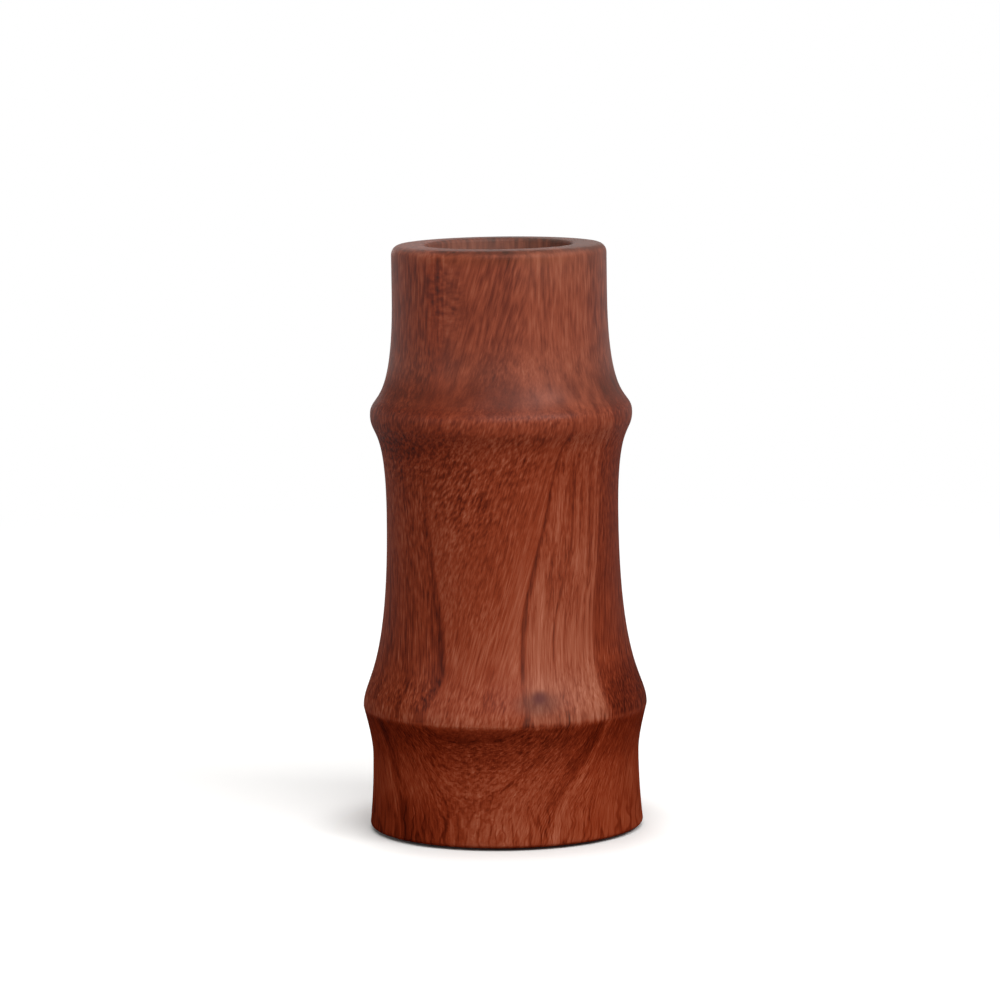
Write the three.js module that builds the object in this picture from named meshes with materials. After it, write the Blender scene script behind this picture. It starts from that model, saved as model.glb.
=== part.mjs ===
// A wooden flower vase, turned in the form of a length of bamboo, with a lift-out glass water liner.
// Millimetres, +Z up. The origin is the centre of the face that the vase stands on.
import * as THREE from "three";

// The outside of the wooden body: the length of each stretch, from the underside up
const FOOT_LENGTH = 14.8; // underside of the wood to the waist of the foot
const FOOT_FLARE_LENGTH = 10.1; // waist of the foot to the crown of the lower ring
const LOWER_FLARE_LENGTH = 39.7; // lower crown to the waist of the vase
const UPPER_FLARE_LENGTH = 20.3; // waist to the crown of the upper ring
const NECK_FLARE_LENGTH = 24.7; // upper crown to the straight neck
const NECK_LENGTH = 9.8; // straight neck, rim included

// The outside of the wooden body: its radius where the outline turns
const FOOT_RADIUS = 28.05;
const FOOT_WAIST_RADIUS = 27.3;
const LOWER_RING_RADIUS = 29.1;
const WAIST_RADIUS = 23.7;
const UPPER_RING_RADIUS = 26.75;
const BASE_ROUND = 0.7; // outer edge of the underside
const RIM_ROUND = 1.9; // outer edge of the mouth
const LIP_ROUND = 0.75; // inner edge of the mouth

// How far each end of a flare runs straight, as a share of the flare's own length
const FOOT_FLARE_HOLD = { bottom: 0.38, top: 0.04 };
const LOWER_FLARE_HOLD = { bottom: 0.14, top: 0.83 };
const UPPER_FLARE_HOLD = { bottom: 0.91, top: 0.22 };
const NECK_FLARE_HOLD = { bottom: 0.18, top: 0.97 };

// The hollow, and the plug that closes it from below
const BORE_RADIUS = 15;
const NECK_WALL = 6.9;
const PLUG_SHOULDER = 4; // width of the step that the plug's flange bears on
const PLUG_FLANGE = 5; // thickness of the flange
const PLUG_SPIGOT = 4; // height of the spigot in the bore
const PLUG_CHAMFER = 0.6;
const GLUE_GAP = 0.15;

// The felt pad under the foot
const FELT_THICKNESS = 1.5;
const FELT_PROUD = 0.6; // how far the felt lifts the wood off the table
const FELT_BORDER = 5.5; // bare wood left round the felt
const FELT_GAP = 0.3;

// The cork cup that the glass stands in
const CORK_THICKNESS = 3;
const CORK_RECESS = 1; // depth of the hollow for the heel of the glass
const CORK_GAP = 0.3; // between the cork and the bore
const CORK_CHAMFER = 0.4;

// The glass liner and the ring that centres it
const LINER_SPACE = 1.5; // between the glass and the bore
const LINER_DROP = 8; // from the rim of the vase down to the lip of the glass
const LINER_WALL = 1.2;
const LINER_FLOOR = 1.8;
const LINER_HEEL = 2.5; // rounding where the glass wall meets its foot
const LINER_GAP = 0.2; // between the heel of the glass and the cork
const GRIP_DROP = 5; // from the lip of the glass down to the middle of the ring
const GRIP_GAP = 0.15; // on each side of the ring

// Facets: round the axis, along a flare, along a rounded edge and round the section of the ring
const AROUND = 64;
const FLARE_STEPS = 9;
const ROUND_STEPS = 4;
const GRIP_STEPS = 10;

// Sizes that follow from those above
const neckRadius = BORE_RADIUS + NECK_WALL;
const plugSeatRadius = BORE_RADIUS + PLUG_SHOULDER;
const feltRecessRadius = FOOT_RADIUS - FELT_BORDER;
const feltRecessDepth = FELT_THICKNESS - FELT_PROUD;
const linerRadius = BORE_RADIUS - LINER_SPACE;

// Heights above the underside of the wood
const footWaist = FOOT_LENGTH;
const lowerCrown = footWaist + FOOT_FLARE_LENGTH;
const waist = lowerCrown + LOWER_FLARE_LENGTH;
const upperCrown = waist + UPPER_FLARE_LENGTH;
const neck = upperCrown + NECK_FLARE_LENGTH;
const rim = neck + NECK_LENGTH;
const plugShoulder = feltRecessDepth + PLUG_FLANGE;

// Heights above the table
const corkFoot = FELT_THICKNESS + PLUG_FLANGE + PLUG_SPIGOT;
const linerFoot = corkFoot + CORK_THICKNESS - CORK_RECESS;
const linerLength = FELT_PROUD + rim - LINER_DROP - linerFoot;

const redHardwood = new THREE.MeshStandardMaterial({ color: 0x7d3a28, roughness: 0.5, metalness: 0 });
const plainHardwood = new THREE.MeshStandardMaterial({ color: 0x8a4a35, roughness: 0.7, metalness: 0 });
const darkFelt = new THREE.MeshStandardMaterial({ color: 0x2e2522, roughness: 0.95, metalness: 0 });
const cork = new THREE.MeshStandardMaterial({ color: 0xb58a5c, roughness: 0.9, metalness: 0 });
const silicone = new THREE.MeshStandardMaterial({ color: 0xd9d8d0, roughness: 0.5, metalness: 0 });
const clearGlass = new THREE.MeshStandardMaterial({
  color: 0xe6f0ec,
  roughness: 0.05,
  metalness: 0,
  transparent: true,
  opacity: 0.35,
});

const at = (radius, height) => new THREE.Vector2(radius, height);

// An S-shaped stretch of outline that runs straight up at both ends, without its first point.
function flare(from, to, hold) {
  const length = to.y - from.y;
  const leave = at(from.x, from.y + hold.bottom * length);
  const arrive = at(to.x, to.y - hold.top * length);
  return new THREE.CubicBezierCurve(from, leave, arrive, to).getPoints(FLARE_STEPS).slice(1);
}

// A quarter circle round a centre, turning anticlockwise from a start angle in quarter turns.
function rounded(centre, radius, startQuarter) {
  const start = (startQuarter * Math.PI) / 2;
  const curve = new THREE.EllipseCurve(centre.x, centre.y, radius, radius, start, start + Math.PI / 2);
  return curve.getPoints(ROUND_STEPS);
}

// The mesh that an outline of radii and heights sweeps round the vertical axis.
function turned(name, outline, material) {
  const geometry = new THREE.LatheGeometry(outline, AROUND).rotateX(Math.PI / 2);
  const mesh = new THREE.Mesh(geometry, material);
  mesh.name = name;
  return mesh;
}

// The wooden body: up the bamboo outline, over the rim, down the bore and out along the underside.
function makeBody() {
  const footWaistPoint = at(FOOT_WAIST_RADIUS, footWaist);
  const lowerCrownPoint = at(LOWER_RING_RADIUS, lowerCrown);
  const waistPoint = at(WAIST_RADIUS, waist);
  const upperCrownPoint = at(UPPER_RING_RADIUS, upperCrown);
  const neckPoint = at(neckRadius, neck);
  const footTop = at(FOOT_RADIUS, BASE_ROUND);
  const footBend = at(FOOT_WAIST_RADIUS, footWaist / 2);
  const start = at(feltRecessRadius, 0);
  return turned(
    "turned_body",
    [
      start,
      ...rounded(at(FOOT_RADIUS - BASE_ROUND, BASE_ROUND), BASE_ROUND, -1),
      ...new THREE.QuadraticBezierCurve(footTop, footBend, footWaistPoint).getPoints(FLARE_STEPS).slice(1),
      ...flare(footWaistPoint, lowerCrownPoint, FOOT_FLARE_HOLD),
      ...flare(lowerCrownPoint, waistPoint, LOWER_FLARE_HOLD),
      ...flare(waistPoint, upperCrownPoint, UPPER_FLARE_HOLD),
      ...flare(upperCrownPoint, neckPoint, NECK_FLARE_HOLD),
      ...rounded(at(neckRadius - RIM_ROUND, rim - RIM_ROUND), RIM_ROUND, 0),
      ...rounded(at(BORE_RADIUS + LIP_ROUND, rim - LIP_ROUND), LIP_ROUND, 1),
      at(BORE_RADIUS, plugShoulder),
      at(plugSeatRadius, plugShoulder),
      at(plugSeatRadius, feltRecessDepth),
      at(feltRecessRadius, feltRecessDepth),
      start,
    ],
    redHardwood,
  );
}

// The shouldered plug: its flange fills the step under the bore and its spigot closes the bore.
function makePlug() {
  const flangeRadius = plugSeatRadius - GLUE_GAP;
  const spigotRadius = BORE_RADIUS - GLUE_GAP;
  const top = PLUG_FLANGE + PLUG_SPIGOT;
  return turned(
    "base_plug",
    [
      at(0, 0),
      at(flangeRadius - PLUG_CHAMFER, 0),
      at(flangeRadius, PLUG_CHAMFER),
      at(flangeRadius, PLUG_FLANGE),
      at(spigotRadius, PLUG_FLANGE),
      at(spigotRadius, top - PLUG_CHAMFER),
      at(spigotRadius - PLUG_CHAMFER, top),
      at(0, top),
    ],
    plainHardwood,
  );
}

// The felt disc in the recess of the foot, which the vase stands on.
function makeFelt() {
  const radius = feltRecessRadius - FELT_GAP;
  return turned(
    "base_felt",
    [at(0, 0), at(radius, 0), at(radius, FELT_THICKNESS), at(0, FELT_THICKNESS)],
    darkFelt,
  );
}

// The shallow cork cup on top of the plug.
function makeCork() {
  const outer = BORE_RADIUS - CORK_GAP;
  const inner = linerRadius + LINER_GAP;
  const floor = CORK_THICKNESS - CORK_RECESS;
  return turned(
    "cork_seat",
    [
      at(0, 0),
      at(outer, 0),
      at(outer, CORK_THICKNESS - CORK_CHAMFER),
      at(outer - CORK_CHAMFER, CORK_THICKNESS),
      at(inner, CORK_THICKNESS),
      at(inner, floor),
      at(0, floor),
    ],
    cork,
  );
}

// The flat-footed glass tube, with a rounded heel inside and out and a fire-polished lip.
function makeLiner() {
  const inner = linerRadius - LINER_WALL;
  const innerHeel = LINER_HEEL - LINER_WALL;
  const lip = LINER_WALL / 2;
  const insideHeel = rounded(at(inner - innerHeel, LINER_FLOOR + innerHeel), innerHeel, -1).reverse();
  return turned(
    "glass_liner",
    [
      at(0, 0),
      ...rounded(at(linerRadius - LINER_HEEL, LINER_HEEL), LINER_HEEL, -1),
      ...rounded(at(linerRadius - lip, linerLength - lip), lip, 0),
      ...rounded(at(inner + lip, linerLength - lip), lip, 1).slice(1),
      ...insideHeel,
      at(0, LINER_FLOOR),
    ],
    clearGlass,
  );
}

// The round silicone ring that fills the space between the glass and the bore.
function makeGrip() {
  const sectionRadius = LINER_SPACE / 2 - GRIP_GAP;
  const middle = linerRadius + LINER_SPACE / 2;
  const section = new THREE.EllipseCurve(middle, 0, sectionRadius, sectionRadius).getPoints(GRIP_STEPS);
  section[GRIP_STEPS] = section[0];
  return turned("grip_ring", section, silicone);
}

// The felt stands on the table and carries the wood. The plug, the cork and the liner are stacked in the wood.
const vase = new THREE.Group();
const body = makeBody();
body.position.z = FELT_PROUD;
const plug = makePlug();
plug.position.z = FELT_THICKNESS;
const corkSeat = makeCork();
corkSeat.position.z = corkFoot;
vase.add(makeFelt(), body, plug, corkSeat);

// The glass and its ring lift out together.
const liner = new THREE.Group();
liner.position.z = linerFoot;
const grip = makeGrip();
grip.position.z = linerLength - GRIP_DROP;
liner.add(makeLiner(), grip);
vase.add(liner);

export default vase;
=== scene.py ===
"""The looks of a turned wooden vase with a lift-out glass liner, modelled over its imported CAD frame."""

import math
from types import SimpleNamespace

import bpy
from mathutils import Matrix, Vector


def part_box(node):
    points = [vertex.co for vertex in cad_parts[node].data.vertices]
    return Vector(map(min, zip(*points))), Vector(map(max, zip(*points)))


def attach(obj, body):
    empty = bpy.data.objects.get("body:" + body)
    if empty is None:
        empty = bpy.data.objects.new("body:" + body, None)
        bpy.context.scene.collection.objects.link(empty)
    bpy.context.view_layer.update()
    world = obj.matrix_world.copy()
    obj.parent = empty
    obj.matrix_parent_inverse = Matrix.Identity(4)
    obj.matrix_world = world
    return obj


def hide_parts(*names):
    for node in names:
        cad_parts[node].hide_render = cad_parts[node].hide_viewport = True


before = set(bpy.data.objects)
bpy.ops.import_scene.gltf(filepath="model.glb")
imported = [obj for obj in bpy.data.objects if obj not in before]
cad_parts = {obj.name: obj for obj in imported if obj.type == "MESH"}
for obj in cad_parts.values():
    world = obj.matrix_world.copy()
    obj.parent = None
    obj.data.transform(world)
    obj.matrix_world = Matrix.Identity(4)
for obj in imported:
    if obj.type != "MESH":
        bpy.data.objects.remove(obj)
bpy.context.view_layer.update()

bl_info = {
    "name": "Turned wooden vase",
    "version": (1, 0, 0),
    "blender": (4, 5, 0),
    "location": "View3D > Sidebar > Vase",
    "description": "Models a turned wooden vase, its glass liner and a studio to show them in",
    "category": "Add Mesh",
}

MM = 0.001

# How finely the pieces are turned: steps round the axis, points along a flare, a rounded edge and a round
# section, and rings in the felt
TURNED_STEPS = 160
FLARE_POINTS = 24
ROUND_POINTS = 6
SECTION_POINTS = 16
FELT_RINGS = 24
SHARP_ANGLE = math.radians(32)
MERGE_DISTANCE = 1e-7

# How far the bottom and the top of each flare run straight, as shares of its length
FOOT_FLARE_HOLD = (0.38, 0.04)
LOWER_FLARE_HOLD = (0.14, 0.83)
UPPER_FLARE_HOLD = (0.91, 0.22)
NECK_FLARE_HOLD = (0.18, 0.97)

# How the felt's nap is spread
NAP_EVENNESS = 0.5
NAP_SEED = 7

# How far from the body's wood in the block the plug's wood is taken, in millimetres
PLUG_OFFSET = (40, 15, 0)

# Where the CAD frame holds each piece
BODY_LOW, BODY_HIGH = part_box("turned_body")
PLUG_LOW, PLUG_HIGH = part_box("base_plug")
FELT_LOW, FELT_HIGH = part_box("base_felt")
CORK_LOW, CORK_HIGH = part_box("cork_seat")
LINER_LOW, LINER_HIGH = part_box("glass_liner")
GRIP_LOW, GRIP_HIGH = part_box("grip_ring")


def length(name, description, metres):
    """A size that a user can change."""
    return bpy.props.FloatProperty(
        name=name, description=description, default=metres, unit="LENGTH", precision=5
    )


def colour(name, description, red, green, blue):
    """A colour that a user can change, from its eight-bit display values."""
    linear = [
        value / 12.92 if value <= 0.04045 else ((value + 0.055) / 1.055) ** 2.4
        for value in (red / 255, green / 255, blue / 255)
    ]
    return bpy.props.FloatVectorProperty(
        name=name, description=description, default=linear, min=0, max=1, subtype="COLOR"
    )


class VaseBodySizes(bpy.types.PropertyGroup):
    """The outline of the wooden body."""

    foot_length: length("Foot", "Underside of the wood to the waist of the foot", 14.8 * MM)
    foot_flare: length("Foot flare", "Waist of the foot to the lower crown", 10.1 * MM)
    lower_flare: length("Lower flare", "Lower crown to the waist of the vase", 39.7 * MM)
    upper_flare: length("Upper flare", "Waist of the vase to the upper crown", 20.3 * MM)
    neck_flare: length("Neck flare", "Upper crown to the straight neck", 24.7 * MM)
    foot_radius: length("Foot radius", "Radius at the underside", 28.05 * MM)
    foot_waist_radius: length("Foot waist radius", "Radius at the waist of the foot", 27.3 * MM)
    lower_ring_radius: length("Lower ring radius", "Radius at the lower crown", BODY_HIGH.x)
    waist_radius: length("Waist radius", "Radius at the waist of the vase", 23.7 * MM)
    upper_ring_radius: length("Upper ring radius", "Radius at the upper crown", 26.75 * MM)
    neck_radius: length("Neck radius", "Outer radius of the straight neck", 21.9 * MM)
    bore_radius: length("Bore radius", "Radius of the hollow", 15 * MM)
    base_round: length("Base round", "Rounding of the outer edge of the underside", 0.7 * MM)
    rim_round: length("Rim round", "Rounding of the outer edge of the mouth", 1.9 * MM)
    lip_round: length("Lip round", "Rounding of the inner edge of the mouth", 0.75 * MM)
    seat_radius: length("Plug seat radius", "Radius of the step for the plug", 19 * MM)
    recess_radius: length("Felt recess radius", "Radius of the recess for the felt", 22.55 * MM)


class VaseFittingSizes(bpy.types.PropertyGroup):
    """The pieces that are fitted into the wooden body."""

    plug_flange: length("Plug flange", "Thickness of the plug's flange", 5 * MM)
    spigot_radius: length("Spigot radius", "Radius of the plug's spigot", 14.85 * MM)
    plug_chamfer: length("Plug chamfer", "Broken edge of the plug", 0.6 * MM)
    felt_edge: length("Felt edge", "Rounding of the edge of the felt", 0.35 * MM)
    felt_nap: length("Felt nap", "How uneven the surface of the felt is", 0.05 * MM)
    cork_recess: length("Cork recess", "Depth of the hollow for the glass", 1 * MM)
    cork_hollow: length("Cork hollow", "Radius of the hollow for the glass", 13.7 * MM)
    cork_edge: length("Cork edge", "Broken edge of the cork", 0.4 * MM)
    glass_wall: length("Glass wall", "Thickness of the wall of the liner", 1.2 * MM)
    glass_floor: length("Glass floor", "Thickness of the floor of the liner", 1.8 * MM)
    glass_heel: length("Glass heel", "Outer rounding where the wall meets the foot", 2.5 * MM)


class VaseColours(bpy.types.PropertyGroup):
    """The colours of the pieces."""

    wood_dark: colour("Dark wood", "Pores and growth lines", 60, 16, 6)
    wood_shade: colour("Shaded wood", "Darker streaks between the pores", 100, 36, 18)
    wood_body: colour("Wood", "The wood between streaks", 132, 56, 32)
    wood_light: colour("Light wood", "Lighter streaks", 154, 83, 59)
    wood_pale: colour("Pale wood", "The palest streaks", 176, 108, 85)
    # The grey of a painted sheen, the reflection of the lamps and the white backdrop on the neck and the pale
    # wood
    wood_painted_sheen: colour("Painted sheen", "The greyness of the neck and of the pale wood", 41, 58, 51)
    wood_warmth: colour("Warm wood", "What the wood of the foot is multiplied by", 255, 234, 216)
    wood_bore: colour("Bore", "The unoiled wood of the hollow", 118, 94, 86)
    wood_knot: colour("Knot", "The core of the pin knot over the lower ring", 84, 37, 35)
    wood_halo: colour("Knot halo", "The grey wood beside the knot", 75, 37, 29)
    felt: colour("Felt", "Wool felt under the foot", 46, 37, 34)
    felt_fleck: colour("Felt fleck", "Lighter fibres in the felt", 92, 78, 70)
    cork_light: colour("Light cork", "Pale grains of the cork", 198, 156, 108)
    cork_dark: colour("Dark cork", "Dark grains of the cork", 126, 84, 50)
    silicone: colour("Silicone", "The ring round the glass", 216, 214, 206)
    glass: colour("Glass", "Tint of the liner", 245, 250, 248)


class VaseStageSettings(bpy.types.PropertyGroup):
    """The camera, the lamps and the floor."""

    distance: length("Camera distance", "From the axis of the vase to the camera", 942.8 * MM)
    height: length("Camera height", "From the floor to the camera", 188.64 * MM)
    tilt: bpy.props.FloatProperty(
        name="Camera tilt", description="Downward tilt", default=0.1278, subtype="ANGLE"
    )
    roll: bpy.props.FloatProperty(
        name="Camera roll", description="Clockwise roll", default=0.0145, subtype="ANGLE"
    )
    turn: bpy.props.FloatProperty(
        name="Camera turn", description="Turn to the left", default=0.0005, subtype="ANGLE"
    )
    lens: bpy.props.FloatProperty(
        name="Lens", description="Focal length", default=167.35, unit="CAMERA"
    )
    ambient: bpy.props.FloatProperty(
        name="Ambient", description="Strength of the light from all round", default=0.2, min=0
    )
    floor: colour("Floor", "The floor and the backdrop", 236, 235, 233)
    floor_lift: bpy.props.FloatProperty(
        name="Floor lift",
        description="Paleness of the floor that the lamps don't give",
        default=0.3,
        min=0,
    )
    bounce: colour("Bounce", "The light that the floor throws up", 150, 112, 92)


class Wire:
    """A value in a material's nodes. Sums on it add the Math nodes that they need."""

    def __init__(self, finish, socket):
        self.finish = finish
        self.socket = socket

    def math(self, operation, *terms):
        """Adds a Math node with this value as its first."""
        return self.finish.node("Math", {"operation": operation}, dict(enumerate((self, *terms))))

    def __add__(self, other):
        return self.math("ADD", other)

    def __sub__(self, other):
        return self.math("SUBTRACT", other)

    def __rsub__(self, other):
        return self.finish.node("Math", {"operation": "SUBTRACT"}, {0: other, 1: self})

    def __mul__(self, other):
        return self.math("MULTIPLY", other)

    def __truediv__(self, other):
        return self.math("DIVIDE", other)

    def __abs__(self):
        return self.math("ABSOLUTE")

    __radd__ = __add__
    __rmul__ = __mul__


class Finish:
    """A material of nodes round one Principled shader."""

    def __init__(self, name):
        self.material = bpy.data.materials.new(name)
        self.material.use_nodes = True
        self.tree = self.material.node_tree
        self.shader = self.tree.nodes["Principled BSDF"]

    def node(self, kind, settings, sockets, output=0):
        """Adds a node, sets it up, fills or links its sockets and returns one of its outputs."""
        made = self.tree.nodes.new("ShaderNode" + kind)
        for name, value in settings.items():
            if name == "stops":
                set_stops(made.color_ramp, value)
            else:
                setattr(made, name, value)
        for name, value in sockets.items():
            self.feed(made.inputs[name], value)
        return Wire(self, made.outputs[output])

    def feed(self, socket, value):
        """Links a wire to a socket, or sets the socket to a plain value."""
        if isinstance(value, Wire):
            self.tree.links.new(value.socket, socket)
        else:
            socket.default_value = value

    def surface(self, **values):
        """Feeds the Principled shader, with underscores for the spaces in its socket names."""
        for name, value in values.items():
            self.feed(self.shader.inputs[name.replace("_", " ")], value)

    def show(self, shader):
        """Makes another shader than the Principled one the surface."""
        self.feed(self.tree.nodes["Material Output"].inputs["Surface"], shader)

    def place(self, offset=(0, 0, 0)):
        """The place on the piece in millimetres, moved by an offset, as a vector and as its three numbers."""
        metres = self.node("TexCoord", {}, {}, "Object")
        vector = self.node("VectorMath", {"operation": "SCALE"}, {0: metres, "Scale": 1 / MM})
        if any(offset):
            vector = self.node("VectorMath", {"operation": "ADD"}, {0: vector, 1: offset})
        return vector, [self.node("SeparateXYZ", {}, {0: vector}, axis) for axis in "XYZ"]

    def vector(self, x, y, z):
        """A vector from its three numbers."""
        return self.node("CombineXYZ", {}, {"X": x, "Y": y, "Z": z})

    def reach(self, vector):
        """The length of a vector."""
        return self.node("VectorMath", {"operation": "LENGTH"}, {0: vector}, "Value")

    def noise(self, vector, scale=1.0, detail=1.0, roughness=0.5):
        """Soft noise from 0 to 1, about 0.5 on average."""
        sockets = {"Vector": vector, "Scale": scale, "Detail": detail, "Roughness": roughness}
        return self.node("TexNoise", {}, sockets)

    def blotches(self, place, sizes, detail=1):
        """Soft noise about 0, with blotches of the given sizes along the three axes."""
        scaled = [part / size for part, size in zip(place, sizes)]
        return self.noise(self.vector(*scaled), detail=detail) - 0.5

    def step(self, value, start, end):
        """0 up to start, 1 from end, and a smooth rise between them."""
        sockets = {"Value": value, "From Min": start, "From Max": end}
        return self.node("MapRange", {"interpolation_type": "SMOOTHSTEP"}, sockets)

    def zone(self, value, start, full, *end):
        """1 inside a zone and 0 outside it. A zone that starts above where it is full goes downwards."""
        if end:
            return self.step(value, start, full) * (1 - self.step(value, *end))
        if start > full:
            return 1 - self.step(value, full, start)
        return self.step(value, start, full)

    def line(self, value, width):
        """1 where a value goes through 0, and 0 from a width away from there."""
        return 1 - self.step(abs(value), 0, width)

    def blend(self, factor, first, second):
        """A number that goes from the first to the second as the factor goes from 0 to 1."""
        return first + (second - first) * factor

    def mix(self, factor, first, second, blend_type="MIX"):
        """The same for colours."""
        settings = {"data_type": "RGBA", "blend_type": blend_type}
        return self.node("Mix", settings, {0: factor, 6: first, 7: second}, 2)

    def bump(self, height, strength, depth):
        """A normal for a surface whose height goes up and down by a depth in metres."""
        return self.node("Bump", {}, {"Height": height, "Strength": strength, "Distance": depth})


class WorldFinish(Finish):
    """The nodes of a world round its Background shader."""

    def __init__(self, world):
        self.tree = world.node_tree
        self.shader = self.tree.nodes["Background"]


def set_stops(ramp, stops):
    """Gives a colour ramp its (place, colour) stops."""
    while len(ramp.elements) < len(stops):
        ramp.elements.new(1.0)
    for element, (place, tint) in zip(ramp.elements, stops):
        element.position = place
        element.color = tint


def opaque(tint):
    """A colour property with full alpha."""
    return (*tint, 1.0)


# The block that the vase was turned from, in millimetres. Its growth layers face the front, a little to the
# left, and lean back up to a bend, where they straighten. All over the block they wave a little.
LAYER_TURN = math.radians(-10)
LAYER_LEAN = 0.2
LAYER_BEND = 62
BEND_SOFTNESS = 12
WAVE_HEIGHT = 2.6
WAVE_SIZES = (16, 16, 26)

# Where the layers come forward or draw back: how far, and the heights and the widths of that zone
LAYER_SHIFTS = {
    "sag": (-3.1, (23, 6), (-12, 12)),
    "pinch": (-0.65, (22, 31, 50, 76), (0, 6)),
    "left_low": (0.6, (70, 30), (-2, -14)),
    "left_high": (-0.6, (30, 70), (-2, -14)),
    "tuck": (-0.45, (24, 29, 33, 42), (-4, -14)),
    "droop": (-0.3, (17, 20, 26, 29), (10, 2)),
}

# Depths of the layers where one year's wood ends and another's starts, with the strength of the dark line
FIRST_LAYER = 32.4
SECOND_LAYER = 21.7
GROWTH_LINES = (
    (FIRST_LAYER, 0.25),
    (28.6, 0.16),
    (SECOND_LAYER, 0.14),
    (9.5, 0.22),
    (2.2, 0.16),
    (-5.0, 0.26),
    (-13.4, 0.15),
    (-19.0, 0.24),
)

# Zones where the wood looks different, in millimetres: where each starts and is full, and where it fades and
# ends. A zone of two numbers goes on from the second, downwards where that is the smaller. The first zones
# lie along the height, and the edge of the foot is frayed.
FOOT = (26.2, 24.4)
FOOT_FRAY = 1.6
UPWARDS = {
    "base": (12, 4),
    # painted shadow under the overhang of the lower ring
    "groove": (12, 23.6, 24.3, 25.6),
    "eaves": (18, 20.5),
    "lip_shade": (21.0, 22.6, 24.3, 25.6),
    "smile_top": (22.3, 24.6),
    "lip": (24.8, 25.5, 27.0, 29.0),
    "lower_ring": (25.3, 26.3, 31.3, 38),
    "sheen": (44, 30),
    "lower": (80, 32),
    "ring_dots": (68, 76, 82, 87),
    "under_ring": (76, 80, 82, 85),
    "ring_flank": (77, 80, 87.5, 90),
    "neck": (80, 92),
    "upper_ring": (84, 87, 92, 98),
    "shoulder": (86, 90, 95, 104),
    "hollow": (86.4, 88.2, 90.2, 97.2),
    "upper_pores": (95, 106),
    "top": (108, 117),
    "rim_edge": (116.0, 118.5),
    "rim_top": (118.4, 119.9),
    "rim": (119.0, 119.8),
}

# Zones across the front, from left to right, and then outwards to both sides
SIDEWAYS = {
    # Two of these zones carry the neck's painted sheen: stronger towards the right, and weaker in a stripe at
    # the left
    "bloom_right": (-20, 16),
    "under_right": (-18, -8),
    "middle": (-16, -6, 8, 20),
    "worn_stripe": (-15.5, -13.8, -12.6, -10.0),
    "base_front": (-15, -8),
    "flank_left": (-10, -14),
    "right_half": (-6, 8),
    "neck_stripe": (-5, -2, 1, 5),
    "lip_right": (-2, 4),
    "clear_side": (-2, 3),
    "bore_right": (-2, 10),
    "shine": (0, 8),
    "lip_dull": (1, 5, 11, 15),
    "neck_left": (7, 1),
    "base_stripe": (9, 13, 17, 21),
    "base_right": (10, 18),
    "shade_left": (14, 10),
    # painted shade at the right ends of the rings
    "right_end": (16, 22),
}
OUTWARDS = {
    "rim_ends": (9, 17),
    "ring_ends": (14, 22),
}

# Zones along the depth of the growth layers, and by the distance from the axis
INWARDS = {
    "front": (FIRST_LAYER - 0.4, FIRST_LAYER + 0.4),
    "first_years": (FIRST_LAYER + 2.8, FIRST_LAYER + 0.8),
    "foot_band": (22.0, 22.5, 23.2, 25.0),
    "foot_stripe": (20.5, 21.1, 21.5, 22.0),
    "inner": (SECOND_LAYER + 0.8, SECOND_LAYER - 1.2),
}
ROUND = {
    "bore": (15.7, 15.1),
}

# Egg-shaped spots, with their middles and half widths: a patch left of the middle where the fibres run into
# the wood, so that the pores show as dots, curly grain in the neck, fine ripples in the foot, and the pin
# knot with the grey wood beside it
SPOTS = {
    "dotted_patch": ((-8.0, -22.0, 73.0), (13.0, 14.0, 25.0)),
    "curly": ((-11.0, -19.0, 110.0), (6.0, 8.0, 13.0)),
    "rippled": ((7.9, -27.0, 5.0), (2.8, 6.0, 5.8)),
    "knot_core": ((6.9, -27.2, 30.9), (2.4, 6.0, 2.0)),
    "knot_halo": ((6.6, -27.0, 29.7), (6.6, 9.0, 3.6)),
}
SPOT_EDGE = (1, 0.2)

# How much of a zone is lost in another: pale wood in the neck, dots under the upper ring at the right, and
# bands at the base and in the painted shadow under the lower ring. Those dots are never full.
PALE_LOSS = 0.75
RING_DOTS = 0.8
RING_DOTS_LOSS = 0.6
BANDS_LOSS_BASE = 0.4
BANDS_LOSS_SHADOW = 0.6

# Sizes of the blotches that the textures are made of, in millimetres along each axis
TICKS = (0.5, 0.5, 4)
PATCHES = (11, 11, 24)
COMMAS = (0.6, 1.0, 1.3)
BLOTCHES = {
    "shiver": (0.8, 0.8, 0.8),
    "dots": (0.9, 0.9, 0.6),
    "curl": (1.7, 1.7, 0.9),
    "mottle": (2.6, 2.6, 5),
    "sway": (4, 4, 3),
}

# Streaks along the fibres: how wide they are and how far they run, in millimetres
STREAKS = {
    "threads": (0.24, 8),
    "short_pores": (0.42, 1.8),
    "low_pores": (0.42, 5),
    "long_pores": (0.65, 4.5),
    "hairs": (0.7, 22),
    "flakes": (0.8, 2.4),
    "streaks": (1.3, 70),
    "veins": (1.6, 60),
}

# Sideways lean of the fibres in front of the first growth line and behind it, and of the dots over the foot
FIBRE_LEAN_FRONT = 0.29
FIBRE_LEAN_BEHIND = 0.02
COMMA_LEAN = 0.5

# Fine bands along the growth layers in the foot, wavy upright bars at its base and the ripples beside them
BANDS = (0.13, 1.2, 5)
BAND_SHIVER = 0.3
BARS = (1.5, 5, 13)
BAR_SWAY = 2
RIPPLE_PITCH = 0.55
RIPPLE_BEND = 0.045

# Widths of thin lines, as shares of the noise that they are cut from
BAR_WIDTH = 0.1
VEIN_WIDTH = 0.04
HAIR_WIDTH = 0.05

# How far the lower ring keeps its short pores, and how many of its pores the clear wood loses
RING_PORES = 0.8
CLEAR_LOSS = 0.5

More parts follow.
